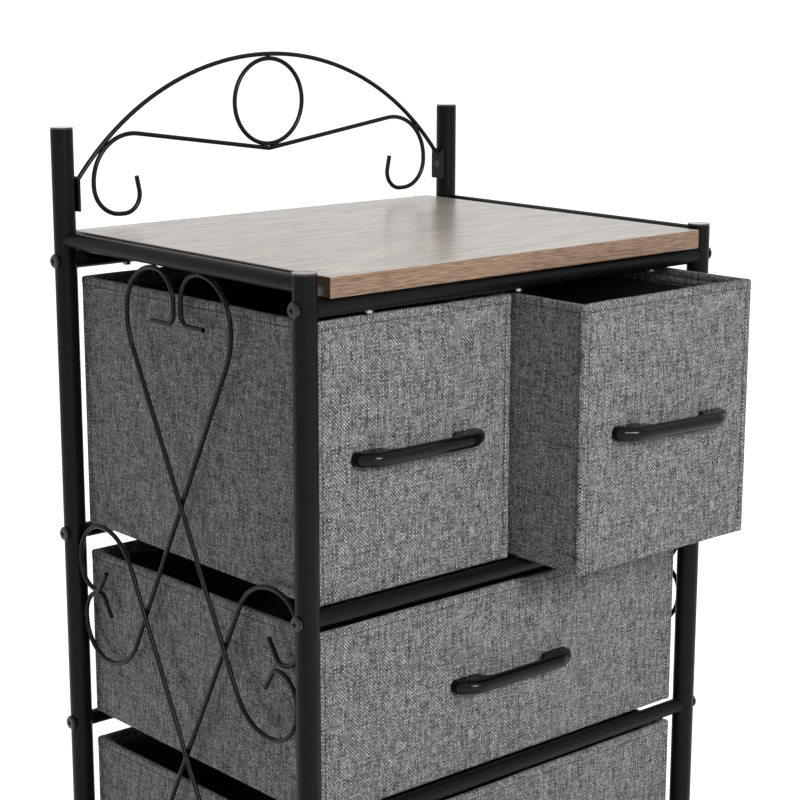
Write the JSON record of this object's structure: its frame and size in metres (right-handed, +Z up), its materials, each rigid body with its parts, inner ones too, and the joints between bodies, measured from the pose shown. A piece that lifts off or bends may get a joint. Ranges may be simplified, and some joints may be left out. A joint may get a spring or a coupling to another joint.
{
  "type": "fabric drawer dresser",
  "caption": "Narrow dresser with a black tube frame, bent-wire heart sides, an arched wire back, a wood top and grey fabric drawers that slide out.",
  "frame": {"origin": "on the floor, under the middle of the whole dresser as stored, with its right small drawer pulled out 74.5 mm", "axes": "+X to the dresser's right as seen from the front, +Y to its back, +Z up"},
  "size_m": [0.4612, 0.4256, 0.8335],
  "materials": {
    "frame_paint": "satin black powder coat",
    "wire_paint": "satin black powder coat",
    "bolt_black": "black oxide",
    "plug_plastic": "glossy black",
    "foot_plastic": "matte black",
    "zinc_steel": "bright zinc",
    "oak_board": "grey-brown oak-grain laminate",
    "drawer_fabric": "grey linen-look weave, black inside",
    "insert_board": "fibreboard in a black cover",
    "handle_plastic": "glossy black"
  },
  "bodies": {
    "frame": {"left_front_post": "frame_paint", "left_rear_post": "frame_paint", "left_top_side_tube": "frame_paint", "left_bottom_side_tube": "frame_paint", "right_front_post": "frame_paint", "right_rear_post": "frame_paint", "right_top_side_tube": "frame_paint", "right_bottom_side_tube": "frame_paint", "bottom_front_rail": "frame_paint", "bottom_rear_rail": "frame_paint", "lower_front_rail": "frame_paint", "lower_rear_rail": "frame_paint", "upper_front_rail": "frame_paint", "upper_rear_rail": "frame_paint", "top_front_rail": "frame_paint", "top_rear_rail": "frame_paint", "post_plugs": "plug_plastic", "foot_caps": "foot_plastic", "frame_bolts": "bolt_black", "rail_inserts": "zinc_steel", "top_board": "oak_board", "board_screws": "zinc_steel", "left_top_rear_heart_wire": "wire_paint", "left_top_front_heart_wire": "wire_paint", "left_bottom_rear_heart_wire": "wire_paint", "left_bottom_front_heart_wire": "wire_paint", "right_top_rear_heart_wire": "wire_paint", "right_top_front_heart_wire": "wire_paint", "right_bottom_rear_heart_wire": "wire_paint", "right_bottom_front_heart_wire": "wire_paint", "back_arch_wire": "wire_paint", "back_ring": "wire_paint", "back_scroll_wire": "wire_paint", "left_arch_plate": "wire_paint", "right_arch_plate": "wire_paint", "arch_plate_screws": "bolt_black", "upper_runners": "frame_paint", "lower_runners": "frame_paint", "bottom_runners": "frame_paint"},
    "left_small_drawer": {"left_small_drawer_box": "drawer_fabric", "left_small_drawer_insert": "insert_board", "left_small_drawer_handle": "handle_plastic", "left_small_drawer_handle_washers": "zinc_steel", "left_small_drawer_handle_screws": "zinc_steel"},
    "right_small_drawer": {"right_small_drawer_box": "drawer_fabric", "right_small_drawer_insert": "insert_board", "right_small_drawer_handle": "handle_plastic", "right_small_drawer_handle_washers": "zinc_steel", "right_small_drawer_handle_screws": "zinc_steel"},
    "middle_wide_drawer": {"middle_wide_drawer_box": "drawer_fabric", "middle_wide_drawer_insert": "insert_board", "middle_wide_drawer_handle": "handle_plastic", "middle_wide_drawer_handle_washers": "zinc_steel", "middle_wide_drawer_handle_screws": "zinc_steel"},
    "bottom_wide_drawer": {"bottom_wide_drawer_box": "drawer_fabric", "bottom_wide_drawer_insert": "insert_board", "bottom_wide_drawer_handle": "handle_plastic", "bottom_wide_drawer_handle_washers": "zinc_steel", "bottom_wide_drawer_handle_screws": "zinc_steel"}
  },
  "joints": [
    {"name": "left_small_drawer_slide", "type": "slide", "parent": "frame", "child": "left_small_drawer", "axis": [0, -1, 0], "range_m": [0, 0.25]},
    {"name": "right_small_drawer_slide", "type": "slide", "parent": "frame", "child": "right_small_drawer", "axis": [0, -1, 0], "range_m": [-0.0745, 0.1755]},
    {"name": "middle_wide_drawer_slide", "type": "slide", "parent": "frame", "child": "middle_wide_drawer", "axis": [0, -1, 0], "range_m": [0, 0.25]},
    {"name": "bottom_wide_drawer_slide", "type": "slide", "parent": "frame", "child": "bottom_wide_drawer", "axis": [0, -1, 0], "range_m": [0, 0.25]}
  ]
}
